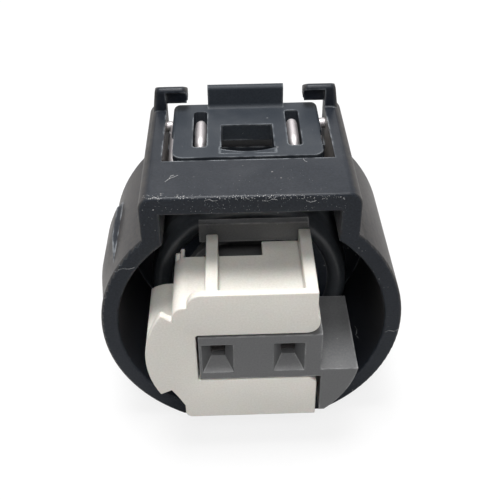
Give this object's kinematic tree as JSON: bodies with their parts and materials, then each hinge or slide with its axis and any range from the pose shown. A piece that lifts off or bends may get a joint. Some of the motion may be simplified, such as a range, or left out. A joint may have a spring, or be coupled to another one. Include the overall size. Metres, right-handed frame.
{
  "type": "sealed automotive connector",
  "caption": "Sealed round wire-side automotive connector with a wire-sprung lever latch, sliding contact lock, silicone seals and crimp terminals.",
  "frame": {"origin": "centre of the mating face, on the mating axis", "axes": "-Y towards the header it mates with, +Y towards the wires, +Z towards the latch, +X to the right seen from the header"},
  "size_m": [0.0222, 0.0263, 0.0227],
  "materials": {
    "housing_black": "fine spark-eroded moulding, dusty",
    "lever_black": "fine moulded grain",
    "carrier_grey": "satin moulded",
    "lock_white": "satin moulded, warm off-white",
    "seal_black": "smooth silicone",
    "spring_steel": "bright drawn wire",
    "tinned_copper": "tin plated"
  },
  "bodies": {
    "connector_body": {"housing": "housing_black", "contact_carrier": "carrier_grey", "interface_seal": "seal_black", "terminal_left": "tinned_copper", "terminal_right": "tinned_copper", "terminal_cage_left": "spring_steel", "terminal_cage_right": "spring_steel", "wire_seal_left": "seal_black", "wire_seal_right": "seal_black"},
    "latch": {"release_lever": "lever_black", "locking_spring": "spring_steel"},
    "lock": {"secondary_lock": "lock_white"}
  },
  "joints": [
    {"name": "latch_rock", "type": "hinge", "parent": "connector_body", "child": "latch", "pos_m": [0, 0.0147, 0.01035], "axis": [-1, 0, 0], "range_deg": [0, 10], "stiffness_Nm_per_rad": 0.01, "springref_deg": -2.86},
    {"name": "lock_slide", "type": "slide", "parent": "connector_body", "child": "lock", "axis": [-1, 0, 0], "range_m": [0, 0.0015]}
  ]
}
